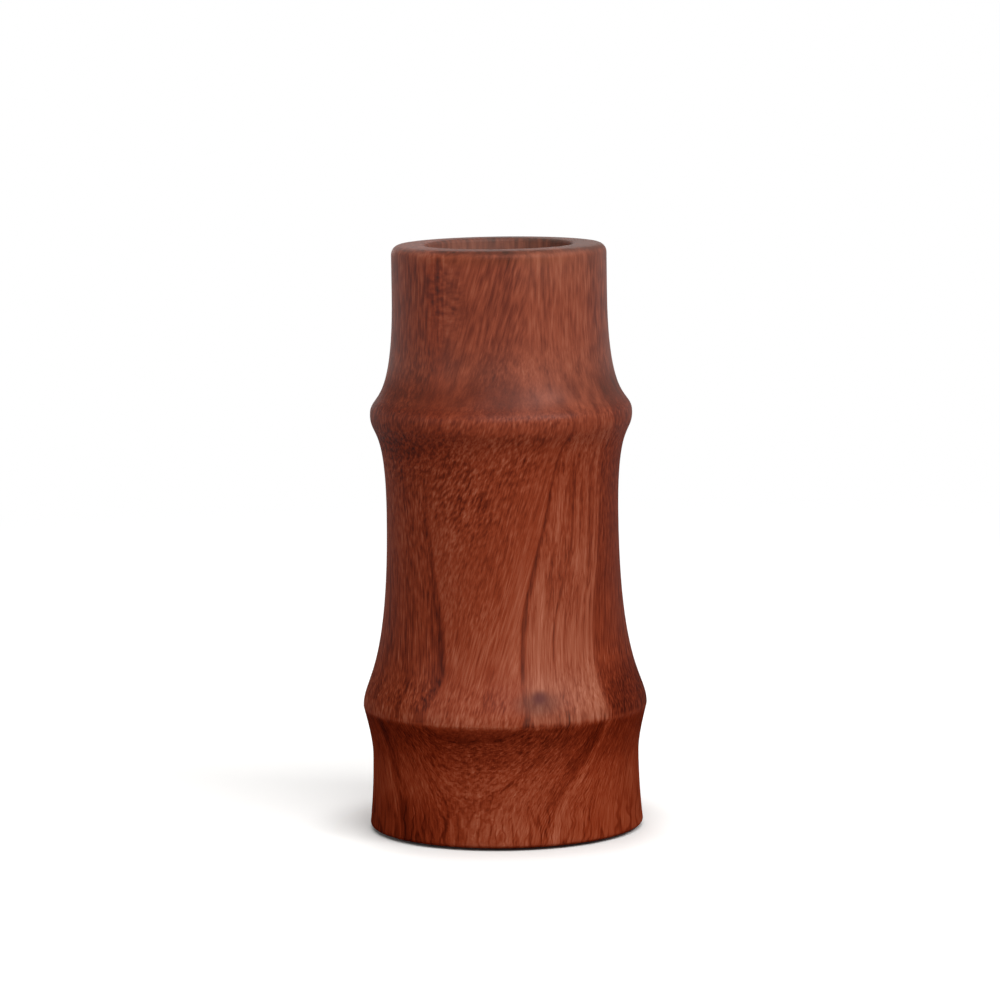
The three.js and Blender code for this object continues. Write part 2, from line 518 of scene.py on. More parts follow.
# Tone of the plain wood, and how much lighter or darker each zone is, all over and where others cross it
PLAIN_TONE = 0.48
ZONE_TONES = {
    "foot": {"all": 0.09, "foot_stripe": 0.12, "foot_band": -0.16},
    # painted shade at the left of the base, lighter in front and to the right
    "base": {"all": -0.15, "base_front": 0.27, "base_right": -0.06, "base_stripe": -0.06},
    # painted shadow under the lower ring
    "groove": {"all": -0.2},
    "lip_shade": {"shade_left": -0.05},
    # painted shadow under the lower ring, a little lighter at its top
    "smile": {"all": -0.05, "smile_top": 0.12},
    # painted highlight along the top of the lower crown, dimmer towards the right
    "lip": {"all": 0.12, "lip_right": -0.12, "lip_dull": -0.16},
    "front": {"lower_ring": -0.06},
    "front_above": {"lower": 0.13},
    "clear": {"all": 0.07},
    "left": {"lower": -0.04},
    "inner": {"right": -0.1},
    "pale": {"all": 0.08, "lower": 0.18, "lower_ring": 0.03},
    # painted shade at the right ends of the lower and the upper ring
    "right_end": {"lower_ring": -0.13, "upper_ring": -0.078},
    # painted light and shade under the upper ring: darker at its left, lighter from the middle to the right
    "under_ring": {"all": -0.06, "under_right": 0.13},
    # painted shade on the left of the upper ring's flank
    "ring_flank": {"flank_left": -0.09},
    # painted shade in the hollow over the upper ring, a little less at the right
    "hollow": {"all": -0.11, "right": 0.04},
    # the left half of the neck is darker as painted shade
    "neck": {"neck_left": -0.06, "neck_stripe": -0.05},
    # painted light at the left end of the rim's edge
    "rim_edge": {"flank_left": 0.1},
    "rim": {"all": -0.2},
    # painted shade at the right of the bore wall
    "bore": {"all": 0.08, "bore_right": -0.1},
}

# How strongly each texture changes the tone, all over and by more or less in some zones
TEXTURE_TONES = {
    "patches": {"all": 0.3, "neck": -0.2, "foot": -0.15},
    "streaks": {"all": 0.18, "pale": 0.45, "bore": 0.5},
    "threads": {
        "all": 0.5,
        "foot": -0.15,
        "neck": -0.2,
        "shoulder": -0.1,
        "hollow": -0.1,
        "rim_edge": -0.1,
        "pale": -0.12,
        "curly": -0.2,
    },
    "flecks": {
        "all": 0.9,
        "foot": -0.4,
        # fewer flecks in the painted shadow under the lower ring
        "smile": -0.35,
        "lower_ring": 0.25,
        "lower": -0.25,
        "left": 0.25,
        "pale": -0.3,
        "dotted_above": 0.25,
        "hollow": -0.3,
        "shoulder": -0.25,
        "neck": -0.2,
        "rim_edge": -0.3,
        "curly": -0.45,
    },
    "veins": {"pale": -0.14},
    "hairs": {"pale": -0.12},
    "flakes": {"left": 0.35},
    "bands": {"all": 0.1, "banded": 0.75},
    "bars": {"base": -0.22},
    "ripples": {"rippled": 0.09},
    "ticks": {"lip": 0.6},
    "mottle": {"neck": 0.35},
    "curl": {"curly": 0.7},
}

# The growth lines: how sharply they start, how wide they are at the left and the right, how much narrower the
# foot makes them, and what their strength is multiplied by
LINE_EDGE = (-0.2, 0.1)
LEFT_LINE = {"all": 0.3, "lower": 2.2}
RIGHT_LINE = 0.6
FOOT_NARROWS = 2.0
LINE_STRENGTHS = (
    {"all": 0.8, "right": 0.7},
    {"all": 1, "right_ring": -0.5},
    {"all": 0.7, "lower": 0.3},
    {"all": 1, "neck": -0.9},
    {"all": 1, "foot": -0.25, "foot_eaves": -0.4},
)

# Tones of the wood's colours
WOOD_TONES = {
    "wood_dark": 0.05,
    "wood_shade": 0.3,
    "wood_body": 0.52,
    "wood_light": 0.76,
    "wood_pale": 1.0,
}

# The painted grey sheen, a soft reflection of the lamps and the white backdrop: how strong it is in the neck,
# how far it is taken out in a stripe and in the hollow, which tones take more of it, and how strong it is
# elsewhere
NECK_PAINTED_SHEEN = {"all": 0.16, "bloom_right": 0.18}
STRIPE_SHEEN_LOSS = 0.8
HOLLOW_SHEEN_LOSS = 0.6
PAINTED_SHEEN_TONES = (0.2, 0.6)
DARK_TONE_PAINTED_SHEEN = 0.4
LIGHT_TONE_PAINTED_SHEEN = 0.9
PAINTED_SHEEN = {
    "pale": {"lower": 0.25, "lower_ring": 0.2},
    "shoulder": {"all": 0.15},
    "top": {"shine": 0.2},
    "rim_edge": {"all": 0.25, "rim_ends": -0.15},
}

# How far the foot is warmed, how bare the bore and the rim are, and how far the knot covers the wood
WARMTH = {"foot": {"all": 1, "middle": -0.6}}
BARENESS = {
    # less of the bare grey at the right of the bore, where its painted shade is
    "bore": {"all": 0.45, "bore_right": -0.25},
    "rim_outside": {"all": 0.08, "rim_ends": 0.3},
}
HALO_COVER = 0.55
CORE_COVER = 0.8

# The satin gloss, and how much of it the rim and the hollow over the upper ring take away
GLOSS = {
    "all": {"all": 0.015, "neck": 0.25},
    "above": {"all": 0.1, "crown_ends": -0.06},
    "crown": {"all": 0.1, "ring_ends": -0.1},
}
RIM_DULLS = 0.75
HOLLOW_DULLS = {"all": 0.55, "shine": -0.25}
COAT_ROUGHNESS = 0.4

# The open pores: how deep a fleck has to be to count as one, and what they do to the surface
PORES = (0.02, 0.2)
WOOD_ROUGHNESS = 0.55
PORE_ROUGHNESS = 0.15
PORE_BUMP = 0.25
PORE_DEPTH = 0.06 * MM


def weigh(zone, amounts):
    """Adds up the amounts of the zones that a place lies in."""
    return sum(amount * getattr(zone, name) for name, amount in amounts.items())


def tally(zone, table):
    """Adds up what each zone brings: an amount all over it, and more or less where other zones cross it."""
    return sum(getattr(zone, name) * weigh(zone, amounts) for name, amounts in table.items())


def wood_layers(finish, x, y, z):
    """The depth of the growth layer at a place, in millimetres along the direction that the layers face."""
    depth = math.sin(LAYER_TURN) * x - math.cos(LAYER_TURN) * y
    depth = depth + LAYER_LEAN * z.math("SMOOTH_MIN", LAYER_BEND, BEND_SOFTNESS)
    for shift, heights, widths in LAYER_SHIFTS.values():
        depth = depth + shift * (finish.zone(z, *heights) * finish.zone(x, *widths))
    return depth + WAVE_HEIGHT * finish.blotches((x, y, z), WAVE_SIZES)


def spot(finish, vector, centre, size):
    """1 in the middle of an egg-shaped spot, 0 from its edge on."""
    apart = finish.node("VectorMath", {"operation": "SUBTRACT"}, {0: vector, 1: centre})
    scaled = finish.node("VectorMath", {"operation": "DIVIDE"}, {0: apart, 1: size})
    return finish.zone(finish.reach(scaled), *SPOT_EDGE)


def wood_zones(finish, vector, place, depth, ticks):
    """Every zone of the wood, as a number from 0 outside it to 1 inside it."""
    x, y, z = place
    radius = finish.reach(finish.vector(x, y, 0))
    zone = SimpleNamespace(all=1)
    tables = ((z, UPWARDS), (x, SIDEWAYS), (abs(x), OUTWARDS), (depth, INWARDS), (radius, ROUND))
    for value, table in tables:
        for name, stops in table.items():
            setattr(zone, name, finish.zone(value, *stops))
    for name, (centre, size) in SPOTS.items():
        setattr(zone, name, spot(finish, vector, centre, size))
    zone.foot = finish.zone(z + FOOT_FRAY * ticks, *FOOT)
    zone.above = 1 - zone.foot
    zone.foot_eaves = zone.foot * zone.eaves
    # The front layers run out in the foot in a patch under the lower ring, curved up at both ends.
    # It is painted shadow under the ring: darker, with fewer flecks and bands.
    zone.smile = zone.front * zone.foot
    zone.banded = zone.foot * (1 - BANDS_LOSS_BASE * zone.base) * (1 - BANDS_LOSS_SHADOW * zone.smile)
    zone.right = zone.right_half * zone.above
    zone.right_ring = zone.lower_ring * zone.right
    zone.left = (1 - zone.right) * (1 - zone.front) * zone.above
    zone.front_above = zone.front * zone.above
    zone.pale = zone.right * (1 - zone.front) * (1 - zone.inner) * (1 - PALE_LOSS * zone.neck)
    zone.clear = zone.front * zone.clear_side * zone.first_years * (1 - zone.neck)
    zone.crown = zone.sheen * zone.above
    zone.crown_ends = zone.ring_ends * zone.crown
    zone.rim_outside = zone.rim_top * (1 - zone.bore)
    foot_dots = zone.foot * (1 - zone.base) * zone.middle
    ring_dots = RING_DOTS * zone.ring_dots * (1 - RING_DOTS_LOSS * zone.right * (1 - zone.front))
    zone.dotted = zone.dotted_patch.math("MAXIMUM", foot_dots).math("MAXIMUM", ring_dots)
    zone.dotted_above = zone.dotted * zone.above
    return zone


def wood_textures(finish, place, depth, zone, ticks):
    """Every texture of the wood: noise about 0, or thin lines."""
    x, y, z = place
    texture = SimpleNamespace(ticks=ticks)
    for name, sizes in BLOTCHES.items():
        setattr(texture, name, finish.blotches(place, sizes))
    for name, (width, run) in STREAKS.items():
        sizes = (width, width, run)
        leaning = finish.blotches((x - FIBRE_LEAN_FRONT * z, depth, z), sizes)
        upright = finish.blotches((x - FIBRE_LEAN_BEHIND * z, depth, z), sizes)
        setattr(texture, name, finish.blend(zone.front, upright, leaning))
    texture.patches = finish.blotches(place, PATCHES, detail=2)
    texture.veins = finish.line(texture.veins, VEIN_WIDTH)
    texture.hairs = finish.line(texture.hairs, HAIR_WIDTH)
    texture.bands = finish.blotches((depth + BAND_SHIVER * texture.shiver, x, z), BANDS)
    bars = finish.blotches((x + BAR_SWAY * texture.sway, y, z), BARS, detail=0)
    texture.bars = finish.line(bars, BAR_WIDTH)
    texture.ripples = ((x - RIPPLE_BEND * z * z) * (2 * math.pi / RIPPLE_PITCH)).math("SINE")
    commas = finish.blotches((x - COMMA_LEAN * z, y, z), COMMAS)
    dots = finish.blend(zone.foot, commas, texture.dots)
    flecks = finish.blend(zone.upper_pores, texture.short_pores, texture.long_pores)
    flecks = finish.blend(zone.lower * (1 - RING_PORES * zone.lower_ring), flecks, texture.low_pores)
    texture.flecks = finish.blend(zone.dotted, flecks, dots) * (1 - CLEAR_LOSS * zone.clear)
    return texture


def growth_lines(finish, depth, zone):
    """How dark the wood is at the end of each year's growth."""
    spread = finish.blend(zone.right, weigh(zone, LEFT_LINE), RIGHT_LINE)
    spread = spread - FOOT_NARROWS * zone.foot * (1 - zone.right)
    lines = 0
    for level, strength in GROWTH_LINES:
        behind = level - depth
        line = finish.step(behind, *LINE_EDGE) * (1 - finish.step(behind, 0, spread))
        lines = lines + strength * line
    for amounts in LINE_STRENGTHS:
        lines = lines * weigh(zone, amounts)
    return lines


def wood_tint(finish, colours, zone, tone):
    """The colour of the wood at a tone, with its painted grey sheen, its warm foot, its bare places and the
    knot.
    """
    stops = [(place, opaque(getattr(colours, name))) for name, place in WOOD_TONES.items()]
    tint = finish.node("ValToRGB", {"stops": stops}, {"Fac": tone})
    # The painted grey sheen: stronger at the right of the neck, weaker in a stripe and in the hollow, more on
    # lighter tones
    painted_sheen = zone.neck * weigh(zone, NECK_PAINTED_SHEEN) * (1 - STRIPE_SHEEN_LOSS * zone.worn_stripe)
    painted_sheen = painted_sheen * (1 - HOLLOW_SHEEN_LOSS * zone.hollow * (1 - zone.right))
    painted_sheen = painted_sheen * (DARK_TONE_PAINTED_SHEEN + LIGHT_TONE_PAINTED_SHEEN * finish.step(tone, *PAINTED_SHEEN_TONES))
    painted_sheen = painted_sheen + tally(zone, PAINTED_SHEEN)
    tint = finish.mix(painted_sheen, tint, opaque(colours.wood_painted_sheen), "ADD")
    tint = finish.mix(tally(zone, WARMTH), tint, opaque(colours.wood_warmth), "MULTIPLY")
    tint = finish.mix(tally(zone, BARENESS), tint, opaque(colours.wood_bore))
    tint = finish.mix(HALO_COVER * zone.knot_halo, tint, opaque(colours.wood_halo))
    return finish.mix(CORE_COVER * zone.knot_core, tint, opaque(colours.wood_knot))


def wood_gloss(zone):
    """How strong the satin coat is."""
    dull = zone.rim_top.math("MAXIMUM", zone.rim_edge * (1 - zone.rim_ends))
    return tally(zone, GLOSS) * (1 - RIM_DULLS * dull) * (1 - zone.hollow * weigh(zone, HOLLOW_DULLS))


def wood_finish(name, colours, offset=(0, 0, 0)):
    """Red hardwood with growth lines, streaks and open pores, oiled to a satin gloss."""
    finish = Finish(name)
    vector, place = finish.place(offset)
    depth = wood_layers(finish, *place)
    ticks = finish.blotches(place, TICKS)
    zone = wood_zones(finish, vector, place, depth, ticks)
    texture = wood_textures(finish, place, depth, zone, ticks)
    tone = PLAIN_TONE + tally(zone, ZONE_TONES) - growth_lines(finish, depth, zone)
    for kind, amounts in TEXTURE_TONES.items():
        tone = tone + weigh(zone, amounts) * getattr(texture, kind)
    pores = finish.step(texture.flecks, *PORES)
    finish.surface(
        Base_Color=wood_tint(finish, colours, zone, tone),
        Roughness=WOOD_ROUGHNESS + PORE_ROUGHNESS * pores,
        Specular_IOR_Level=0.0,
        Coat_Weight=wood_gloss(zone),
        Coat_Roughness=COAT_ROUGHNESS,
        Normal=finish.bump(1 - pores - texture.threads, PORE_BUMP, PORE_DEPTH),
    )
    return finish.material


# Felt: sizes of the fibres that lie across and aslant and of their clumps, in millimetres, how far the clumps
# change its tone, and which tones show as light flecks
FELT_ACROSS = (0.12, 1.4, 0.4)
FELT_ASLANT = (1.7, 0.14, 0.4)
FELT_CLUMPS = (2, 2, 2)
CLUMP_TONE = 0.4
FELT_FLECKS = (-0.05, 0.3)


def felt_finish(colours):
    """Pressed wool felt: short fibres lying every way, with a little sheen."""
    finish = Finish("dark_felt")
    _, (x, y, z) = finish.place()
    across = finish.blotches((x, y, z), FELT_ACROSS)
    aslant = finish.blotches((x + y, x - y, z), FELT_ASLANT)
    clumps = finish.blotches((x, y, z), FELT_CLUMPS, detail=2)
    fibre = across.math("MAXIMUM", aslant)
    shade = finish.step(fibre + CLUMP_TONE * clumps, *FELT_FLECKS)
    finish.surface(
        Base_Color=finish.mix(shade, opaque(colours.felt), opaque(colours.felt_fleck)),
        Roughness=0.95,
        Sheen_Weight=0.35,
        Normal=finish.bump(fibre + clumps, strength=0.7, depth=0.2 * MM),
    )
    return finish.material


# Cork: grains and pits to the millimetre, which noise makes a pit, how wide the seams between grains are, how
# dark each of them is, and how deep the seams are beside the pits
CORK_GRAINS = 0.8
CORK_PITS = 3.5
PIT_EDGE = (0.58, 0.7)
SEAM_WIDTH = 0.09
GRAIN_TONE = 0.65
PIT_TONE = 0.4
SEAM_TONE = 0.45
SEAM_DEPTH = 0.6


def cork_finish(colours):
    """Pressed cork: pale and dark grains with fine dark pits."""
    finish = Finish("cork")
    vector, _ = finish.place()
    cells = {"Vector": vector, "Scale": CORK_GRAINS}
    grains = finish.node("TexVoronoi", {}, cells, "Color")
    tone = finish.node("SeparateColor", {}, {0: grains}, "Red")
    edges = finish.node("TexVoronoi", {"feature": "DISTANCE_TO_EDGE"}, cells)
    pits = finish.step(finish.noise(vector, CORK_PITS, 2), *PIT_EDGE)
    seam = finish.line(edges, SEAM_WIDTH)
    shade = GRAIN_TONE * tone + PIT_TONE * pits + SEAM_TONE * seam
    finish.surface(
        Base_Color=finish.mix(shade, opaque(colours.cork_light), opaque(colours.cork_dark)),
        Roughness=0.85 + 0.1 * tone,
        Normal=finish.bump(1 - pits - SEAM_DEPTH * seam, strength=0.5, depth=0.15 * MM),
    )
    return finish.material


# Glass: sizes of the streaks left by drawing, and the scale and edge of the film of old water
DRAWN_STREAKS = (2.2, 2.2, 45)
FILM_SCALE = 0.12
FILM_EDGE = (0.5, 0.75)


def glass_finish(colours):
    """Clear drawn glass with faint streaks along the tube and a touch of film. Lamps shine through it."""
    finish = Finish("clear_glass")
    vector, place = finish.place()
    drawn = finish.blotches(place, DRAWN_STREAKS)
    film = finish.step(finish.noise(vector, FILM_SCALE, 3), *FILM_EDGE)
    finish.surface(
        Base_Color=opaque(colours.glass),
        Roughness=0.015 + 0.05 * film,
        IOR=1.5,
        Transmission_Weight=1.0,
        Normal=finish.bump(drawn, strength=0.08, depth=0.1 * MM),
    )
    shadow = finish.node("LightPath", {}, {}, "Is Shadow Ray")
    solid = Wire(finish, finish.shader.outputs[0])
    clear = finish.node("BsdfTransparent", {}, {"Color": opaque(colours.glass)})
    finish.show(finish.node("MixShader", {}, {0: shadow, 1: solid, 2: clear}))
    return finish.material


# Silicone: scale and strength of its milky clouds, how dark the clouds are, and the scale of its fine grain
CLOUD_SCALE = 0.9
CLOUDINESS = 0.25
CLOUD_SHADE = 0.8
GRAIN_SCALE = 5


def silicone_finish(colours):
    """Cloudy silicone rubber with a soft milky haze."""
    finish = Finish("silicone")
    vector, _ = finish.place()
    cloud = finish.noise(vector, CLOUD_SCALE, 3)
    shade = [CLOUD_SHADE * part for part in colours.silicone]
    finish.surface(
        Base_Color=finish.mix(CLOUDINESS * cloud, opaque(colours.silicone), opaque(shade)),
        Roughness=0.38 + 0.25 * cloud,
        Subsurface_Weight=0.4,
        Subsurface_Scale=0.8 * MM,
        Normal=finish.bump(finish.noise(vector, GRAIN_SCALE, 1), strength=0.1, depth=0.02 * MM),
    )
    return finish.material


def flare(start, end, bottom, top):
    """An S-shaped run of outline points, straight up at both ends, without its first point."""
    (r0, z0), (r1, z1) = start, end
    leave = z0 + bottom * (z1 - z0)
    arrive = z1 - top * (z1 - z0)
    points = []
    for step in range(1, FLARE_POINTS + 1):
        t = step / FLARE_POINTS
        a, b, c, d = (1 - t) ** 3, 3 * t * (1 - t) ** 2, 3 * t * t * (1 - t), t**3
        points.append(((a + b) * r0 + (c + d) * r1, a * z0 + b * leave + c * arrive + d * z1))
    return points


def arch(start, end):
    """A run of outline points that bends to straight up at its end, without its first point."""
    (r0, z0), (r1, z1) = start, end
    points = []
    for step in range(1, FLARE_POINTS + 1):
        t = step / FLARE_POINTS
        rest = (1 - t) ** 2
        points.append((rest * r0 + (1 - rest) * r1, z0 + t * (z1 - z0)))
    return points


def rounded(radius, height, size, quarter):
    """A quarter circle of outline points round a centre, anticlockwise from a start in quarter turns."""
    points = []
    for step in range(ROUND_POINTS + 1):
        angle = (quarter + step / ROUND_POINTS) * math.pi / 2
        points.append((radius + size * math.cos(angle), height + size * math.sin(angle)))
    return points


def turn_piece(name, outline):
    """Turns a piece as on a lathe: draws its outline of radii and heights and spins it round the axis."""
    bpy.ops.object.select_all(action="DESELECT")
    bpy.ops.mesh.primitive_plane_add(size=MM)
    piece = bpy.context.object
    piece.name = piece.data.name = name
    bpy.ops.object.mode_set(mode="EDIT")
    bpy.ops.mesh.select_all(action="SELECT")
    bpy.ops.mesh.merge(type="CENTER")
    bpy.ops.transform.translate(value=(outline[0][0], 0, outline[0][1]))
    for (r0, z0), (r1, z1) in zip(outline, outline[1:]):
        bpy.ops.mesh.extrude_region_move(TRANSFORM_OT_translate={"value": (r1 - r0, 0, z1 - z0)})
    bpy.ops.mesh.select_all(action="SELECT")
    bpy.ops.mesh.spin(steps=TURNED_STEPS, angle=2 * math.pi, center=(0, 0, 0), axis=(0, 0, 1))
    bpy.ops.mesh.select_all(action="SELECT")
    bpy.ops.mesh.remove_doubles(threshold=MERGE_DISTANCE)
    bpy.ops.mesh.normals_make_consistent(inside=False)
    bpy.ops.object.mode_set(mode="OBJECT")
    bpy.ops.object.shade_smooth_by_angle(angle=SHARP_ANGLE)
    return piece


def finish_piece(piece, material, body, node):
    """Gives a piece its material, seats it on its body and lets it stand for its CAD node."""
    piece.data.materials.clear()
    piece.data.materials.append(material)
    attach(piece, body)
    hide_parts(node)


class VASE_OT_turned_body(bpy.types.Operator):
    """Turn the wooden body: bamboo outline, rim, bore, plug seat and felt recess."""

    bl_idname = "vase.turned_body"
    bl_label = "Wooden body"

    def execute(self, context):
        size = context.scene.vase_body
        foot = BODY_LOW.z
        rim = BODY_HIGH.z
        roof = FELT_HIGH.z
        shoulder = PLUG_LOW.z + context.scene.vase_fittings.plug_flange
        foot_waist = (size.foot_waist_radius, foot + size.foot_length)
        lower = (size.lower_ring_radius, foot_waist[1] + size.foot_flare)
        waist = (size.waist_radius, lower[1] + size.lower_flare)
        upper = (size.upper_ring_radius, waist[1] + size.upper_flare)
        neck = (size.neck_radius, upper[1] + size.neck_flare)
        outline = [(size.recess_radius, foot)]
        outline += rounded(size.foot_radius - size.base_round, foot + size.base_round, size.base_round, -1)
        outline += arch(outline[-1], foot_waist)
        outline += flare(foot_waist, lower, *FOOT_FLARE_HOLD)
        outline += flare(lower, waist, *LOWER_FLARE_HOLD)
        outline += flare(waist, upper, *UPPER_FLARE_HOLD)
        outline += flare(upper, neck, *NECK_FLARE_HOLD)
        outline += rounded(size.neck_radius - size.rim_round, rim - size.rim_round, size.rim_round, 0)
        outline += rounded(size.bore_radius + size.lip_round, rim - size.lip_round, size.lip_round, 1)
        outline += [
            (size.bore_radius, shoulder),
            (size.seat_radius, shoulder),
            (size.seat_radius, roof),
            (size.recess_radius, roof),
            outline[0],
        ]
        piece = turn_piece("turned_body_wood", outline)
        material = wood_finish("red_hardwood", context.scene.vase_colours)
        finish_piece(piece, material, "vase", "turned_body")
        return {"FINISHED"}


class VASE_OT_base_plug(bpy.types.Operator):
    """Turn the shouldered plug that closes the bore from below."""

    bl_idname = "vase.base_plug"
    bl_label = "Base plug"

    def execute(self, context):
        size = context.scene.vase_fittings
        bottom, top = PLUG_LOW.z, PLUG_HIGH.z
        flange, spigot, chamfer = PLUG_HIGH.x, size.spigot_radius, size.plug_chamfer
        shoulder = bottom + size.plug_flange
        outline = [
            (0, bottom),
            (flange - chamfer, bottom),
            (flange, bottom + chamfer),
            (flange, shoulder),
            (spigot, shoulder),
            (spigot, top - chamfer),
            (spigot - chamfer, top),
            (0, top),
        ]
        piece = turn_piece("base_plug_wood", outline)
        material = wood_finish("plain_hardwood", context.scene.vase_colours, offset=PLUG_OFFSET)
        finish_piece(piece, material, "vase", "base_plug")
        return {"FINISHED"}


class VASE_OT_base_felt(bpy.types.Operator):
    """Make the felt disc that the vase stands on, with a soft edge and an uneven nap."""

    bl_idname = "vase.base_felt"
    bl_label = "Base felt"

    def execute(self, context):
        size = context.scene.vase_fittings
        radius, edge = FELT_HIGH.x, size.felt_edge
        low, high = FELT_LOW.z + size.felt_nap, FELT_HIGH.z - size.felt_nap
        rings = [radius * ring / FELT_RINGS for ring in range(FELT_RINGS)]
        outline = [(ring, low) for ring in rings if ring < radius - edge]
        outline += rounded(radius - edge, low + edge, edge, -1)
        outline += rounded(radius - edge, high - edge, edge, 0)
        outline += [(0, high)]
        piece = turn_piece("base_felt_wool", outline)
        bpy.ops.object.mode_set(mode="EDIT")
        bpy.ops.mesh.select_all(action="SELECT")
        bpy.ops.transform.vertex_random(offset=size.felt_nap, uniform=NAP_EVENNESS, seed=NAP_SEED)
        bpy.ops.object.mode_set(mode="OBJECT")
        finish_piece(piece, felt_finish(context.scene.vase_colours), "vase", "base_felt")
        return {"FINISHED"}


class VASE_OT_cork_seat(bpy.types.Operator):
    """Turn the cork cup that the glass stands in."""

    bl_idname = "vase.cork_seat"
    bl_label = "Cork seat"

    def execute(self, context):
        size = context.scene.vase_fittings
        low, high, outer = CORK_LOW.z, CORK_HIGH.z, CORK_HIGH.x
        floor, hollow, edge = high - size.cork_recess, size.cork_hollow, size.cork_edge
        outline = [
            (0, low),
            (outer, low),
            (outer, high - edge),
            (outer - edge, high),
            (hollow, high),
            (hollow, floor),
            (0, floor),
        ]
        piece = turn_piece("cork_seat_cup", outline)
        finish_piece(piece, cork_finish(context.scene.vase_colours), "vase", "cork_seat")
        return {"FINISHED"}


class VASE_OT_glass_liner(bpy.types.Operator):
    """Draw the glass tube, with a rounded heel and a fire-polished lip."""

    bl_idname = "vase.glass_liner"
    bl_label = "Glass liner"

    def execute(self, context):
        size = context.scene.vase_fittings
        low, high, outer = LINER_LOW.z, LINER_HIGH.z, LINER_HIGH.x
        inner, lip, heel = outer - size.glass_wall, size.glass_wall / 2, size.glass_heel
        floor, inner_heel = low + size.glass_floor, heel - size.glass_wall
        outline = [(0, low)]
        outline += rounded(outer - heel, low + heel, heel, -1)
        outline += rounded(outer - lip, high - lip, lip, 0)
        outline += rounded(inner + lip, high - lip, lip, 1)[1:]
        outline += reversed(rounded(inner - inner_heel, floor + inner_heel, inner_heel, -1))
        outline += [(0, floor)]
        piece = turn_piece("glass_liner_tube", outline)
        finish_piece(piece, glass_finish(context.scene.vase_colours), "liner", "glass_liner")
        return {"FINISHED"}


class VASE_OT_grip_ring(bpy.types.Operator):
    """Turn the round silicone ring that grips the glass."""

    bl_idname = "vase.grip_ring"
    bl_label = "Grip ring"

    def execute(self, context):
        section = (GRIP_HIGH.z - GRIP_LOW.z) / 2
        middle = GRIP_HIGH.x - section
        height = (GRIP_HIGH.z + GRIP_LOW.z) / 2
        turns = [2 * math.pi * step / SECTION_POINTS for step in range(SECTION_POINTS)]
        outline = [(middle + section * math.cos(a), height + section * math.sin(a)) for a in turns]
        piece = turn_piece("grip_ring_silicone", [*outline, outline[0]])
        finish_piece(piece, silicone_finish(context.scene.vase_colours), "liner", "grip_ring")
        return {"FINISHED"}


# Softboxes: name, place, size and power in watts. All of them face the middle of the vase.
SOFTBOXES = (
    ("key_softbox", (0.15, -0.657, 0.864), 0.9, 10.4),
    ("right_softbox", (0.64, -0.46, 0.66), 0.3, 2.9),
    ("left_softbox", (-0.9, -0.5, 0.4), 0.6, 0.8),
    ("back_softbox", (-0.1, 1.0, 0.45), 0.7, 6.0),
)
AIM = Vector((0, 0, 0.06))

# The floor is round, with its radius in metres. Beside the vase it keeps all of its shade, and far away it
# turns as white as the backdrop. Both are given in millimetres from the middle.
FLOOR_RADIUS = 30
FLOOR_SIDES = 64
SHADE_ENDS = (24, 45)
WHITE_BEGINS = (160, 520)
WHITE = (1, 1, 1, 1)

# The camera's sensor in millimetres, and how far it sees in metres
SENSOR_WIDTH = 36
CLIP_END = 100


def seen_directly(finish):
    """1 for what the camera sees, mirrored or through glass too, and 0 for light that falls on the vase."""
    camera, glossy, through = (
        finish.node("LightPath", {}, {}, f"Is {kind} Ray") for kind in ("Camera", "Glossy", "Transmission")
    )
    return camera.math("MAXIMUM", glossy).math("MAXIMUM", through)


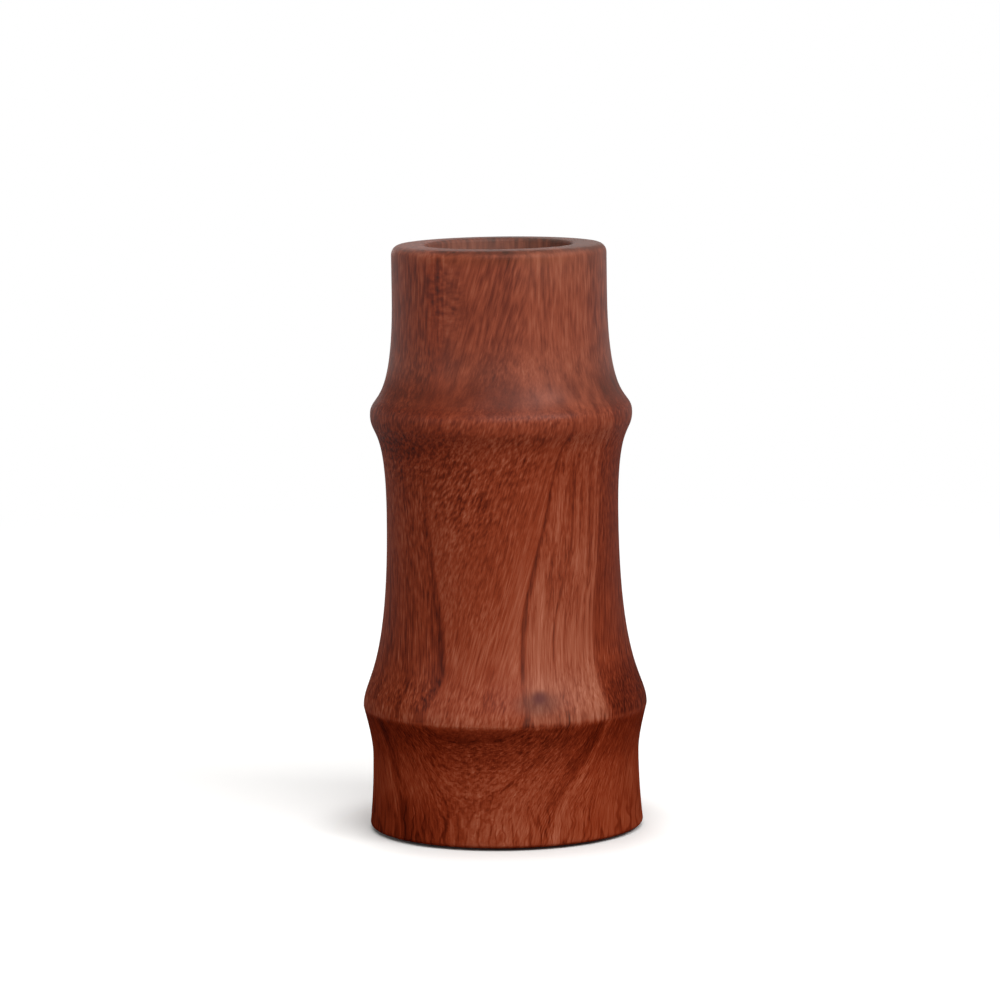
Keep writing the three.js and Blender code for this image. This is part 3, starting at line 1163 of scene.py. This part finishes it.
class VASE_OT_stage(bpy.types.Operator):
    """Set up the floor, the lamps and the camera."""

    bl_idname = "vase.stage"
    bl_label = "Studio"

    def execute(self, context):
        settings = context.scene.vase_stage
        self.lay_floor(settings)
        self.hang_lamps()
        self.light_world(context.scene, settings)
        self.place_camera(context.scene, settings)
        context.scene.view_settings.view_transform = "Standard"
        return {"FINISHED"}

    def lay_floor(self, settings):
        """A floor that shows the shade under the vase and is lost in the backdrop."""
        bpy.ops.object.select_all(action="DESELECT")
        bpy.ops.mesh.primitive_circle_add(vertices=FLOOR_SIDES, radius=FLOOR_RADIUS, fill_type="NGON")
        floor = bpy.context.object
        floor.name = floor.data.name = "floor"
        finish = Finish("pale_floor")
        vector, _ = finish.place()
        away = finish.reach(vector)
        seen = seen_directly(finish)
        bounced = finish.node("BsdfDiffuse", {}, {"Color": opaque(settings.bounce)})
        painted = finish.node("BsdfDiffuse", {}, {"Color": opaque(settings.floor)})
        lit = finish.node("MixShader", {}, {0: seen, 1: bounced, 2: painted})
        black = finish.node("Emission", {}, {"Color": WHITE, "Strength": 0.0})
        white = finish.node("Emission", {}, {"Color": WHITE, "Strength": 1.0})
        lift = settings.floor_lift * seen * finish.step(away, *SHADE_ENDS)
        glow = finish.node("MixShader", {}, {0: lift, 1: black, 2: white})
        near = finish.node("AddShader", {}, {0: lit, 1: glow})
        far = finish.step(away, *WHITE_BEGINS) * seen
        finish.show(finish.node("MixShader", {}, {0: far, 1: near, 2: white}))
        floor.data.materials.append(finish.material)

    def hang_lamps(self):
        """The softboxes round the vase."""
        for name, place, size, power in SOFTBOXES:
            bpy.ops.object.light_add(type="AREA", location=place)
            lamp = bpy.context.object
            lamp.name = lamp.data.name = name
            lamp.rotation_euler = (Vector(place) - AIM).to_track_quat("Z", "Y").to_euler()
            lamp.data.size = size
            lamp.data.energy = power

    def light_world(self, scene, settings):
        """A white backdrop that lights the vase only a little."""
        scene.world = bpy.data.worlds.new("studio")
        scene.world.use_nodes = True
        finish = WorldFinish(scene.world)
        strength = finish.blend(seen_directly(finish), settings.ambient, 1.0)
        finish.feed(finish.shader.inputs["Color"], WHITE)
        finish.feed(finish.shader.inputs["Strength"], strength)

    def place_camera(self, scene, settings):
        """A camera in front of the vase, looking down at it a little."""
        bpy.ops.object.camera_add()
        camera = bpy.context.object
        camera.name = camera.data.name = "camera"
        place = Matrix.Translation((0, -settings.distance, settings.height))
        turn = Matrix.Rotation(settings.turn, 4, "Z")
        tilt = Matrix.Rotation(math.pi / 2 - settings.tilt, 4, "X")
        roll = Matrix.Rotation(-settings.roll, 4, "Z")
        camera.matrix_world = place @ turn @ tilt @ roll
        camera.data.sensor_width = SENSOR_WIDTH
        camera.data.lens = settings.lens
        camera.data.clip_end = CLIP_END
        scene.camera = camera


PIECES = (
    VASE_OT_turned_body,
    VASE_OT_base_plug,
    VASE_OT_base_felt,
    VASE_OT_cork_seat,
    VASE_OT_glass_liner,
    VASE_OT_grip_ring,
)


class VASE_PT_panel(bpy.types.Panel):
    """The vase's pieces and sizes in the sidebar."""

    bl_idname = "VASE_PT_panel"
    bl_label = "Turned vase"
    bl_space_type = "VIEW_3D"
    bl_region_type = "UI"
    bl_category = "Vase"

    def draw(self, context):
        for operator in (*PIECES, VASE_OT_stage):
            self.layout.operator(operator.bl_idname)
        for name in SETTINGS:
            settings = getattr(context.scene, name)
            box = self.layout.box()
            for key in settings.bl_rna.properties.keys():
                if key not in {"rna_type", "name"}:
                    box.prop(settings, key)


SETTINGS = {
    "vase_body": VaseBodySizes,
    "vase_fittings": VaseFittingSizes,
    "vase_colours": VaseColours,
    "vase_stage": VaseStageSettings,
}
CLASSES = (*SETTINGS.values(), *PIECES, VASE_OT_stage, VASE_PT_panel)


def register():
    for cls in CLASSES:
        bpy.utils.register_class(cls)
    for name, group in SETTINGS.items():
        setattr(bpy.types.Scene, name, bpy.props.PointerProperty(type=group))


def unregister():
    for name in SETTINGS:
        delattr(bpy.types.Scene, name)
    for cls in reversed(CLASSES):
        bpy.utils.unregister_class(cls)


def main():
    """Models every piece and the stage."""
    register()
    bpy.ops.vase.turned_body()
    bpy.ops.vase.base_plug()
    bpy.ops.vase.base_felt()
    bpy.ops.vase.cork_seat()
    bpy.ops.vase.glass_liner()
    bpy.ops.vase.grip_ring()
    bpy.ops.vase.stage()


if __name__ == "__main__":
    main()
